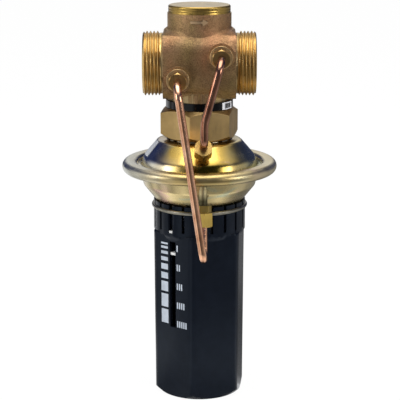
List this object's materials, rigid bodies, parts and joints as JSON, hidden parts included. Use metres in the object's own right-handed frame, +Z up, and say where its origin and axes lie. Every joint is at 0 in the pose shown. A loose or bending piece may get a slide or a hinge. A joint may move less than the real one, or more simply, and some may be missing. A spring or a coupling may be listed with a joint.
{
  "type": "differential pressure relief valve",
  "caption": "Self-acting differential pressure relief valve: threaded cast body, diaphragm actuator with copper impulse tubes, and a turning handle that sets the spring",
  "frame": {"origin": "where the pipe axis meets the stem axis", "axes": "+X along the pipe from inlet to outlet, +Z up the stem axis towards the cap, -Y towards the impulse tubes"},
  "size_m": [0.1024, 0.1116, 0.2613],
  "materials": {
    "cast_brass": "sand-cast skin, machined spigots and faces",
    "turned_brass": "turned",
    "fitting_brass": "bright turned",
    "stainless_steel": "turned",
    "yellow_zinc": "pressed sheet, yellow passivated zinc",
    "plain_zinc": "zinc plated",
    "copper": "drawn copper tube",
    "black_rubber": "moulded",
    "black_band": "gloss film",
    "white_tag": "printed film, bare",
    "silver_label": "metallised film, bare",
    "black_plastic": "moulded, satin",
    "white_plastic": "moulded",
    "spring_wire": "drawn spring wire"
  },
  "bodies": {
    "housing": {"valve_body": "cast_brass", "seat_ring": "stainless_steel", "body_cap": "turned_brass", "cap_o_ring": "black_rubber", "stem_guide": "turned_brass", "guide_o_ring": "black_rubber", "stem_o_ring": "black_rubber", "id_band": "black_band", "band_label": "white_tag", "tail_gasket": "black_rubber", "union_nut": "turned_brass", "actuator_tail": "turned_brass", "tail_lock_nut": "turned_brass", "upper_casing": "yellow_zinc", "lower_casing": "yellow_zinc", "diaphragm": "black_rubber", "casing_label": "silver_label", "adjusting_sleeve": "plain_zinc", "sleeve_o_ring": "black_rubber", "sleeve_lock_nut": "turned_brass", "swivel_collar": "black_plastic", "inlet_tube": "copper", "outlet_tube": "copper", "inlet_tap_nipple": "fitting_brass", "inlet_tap_ferrule": "fitting_brass", "inlet_tap_nut": "fitting_brass", "outlet_tap_nipple": "fitting_brass", "outlet_tap_ferrule": "fitting_brass", "outlet_tap_nut": "fitting_brass", "upper_port_nipple": "fitting_brass", "upper_port_ferrule": "fitting_brass", "upper_port_nut": "fitting_brass", "lower_port_nipple": "fitting_brass", "lower_port_ferrule": "fitting_brass", "lower_port_nut": "fitting_brass"},
    "handle_grip": {"handle": "black_plastic", "retaining_ring": "spring_wire", "index_mark": "white_plastic"},
    "adjuster": {"adjusting_nut": "black_plastic", "setting_pointer": "white_plastic"},
    "stem": {"valve_cone": "turned_brass", "cone_seal": "black_rubber", "piston_o_ring": "black_rubber", "cone_nut": "turned_brass", "valve_stem": "stainless_steel", "actuator_stem": "stainless_steel", "upper_plate": "plain_zinc", "lower_plate": "plain_zinc", "plate_nut": "stainless_steel", "spring_plate": "plain_zinc", "spring_plate_nut": "stainless_steel", "setting_spring": "spring_wire"}
  },
  "joints": [
    {"name": "handle_turn", "type": "hinge", "parent": "housing", "child": "handle_grip", "pos_m": [0, 0, -0.15], "axis": [0, 0, 1], "range_deg": [-4930, 510]},
    {"name": "nut_travel", "type": "slide", "parent": "handle_grip", "child": "adjuster", "axis": [0, 0, 1], "range_m": [-0.048, 0.005], "deforming": ["setting_spring"]},
    {"name": "stem_lift", "type": "slide", "parent": "housing", "child": "stem", "axis": [0, 0, 1], "range_m": [0, 0.005], "stiffness_N_per_m": 2000, "springref_m": -0.02, "deforming": ["diaphragm"]}
  ],
  "couplings": [
    {"joint": "nut_travel", "follows": "handle_turn", "m_per_rad": 0.00055704}
  ]
}
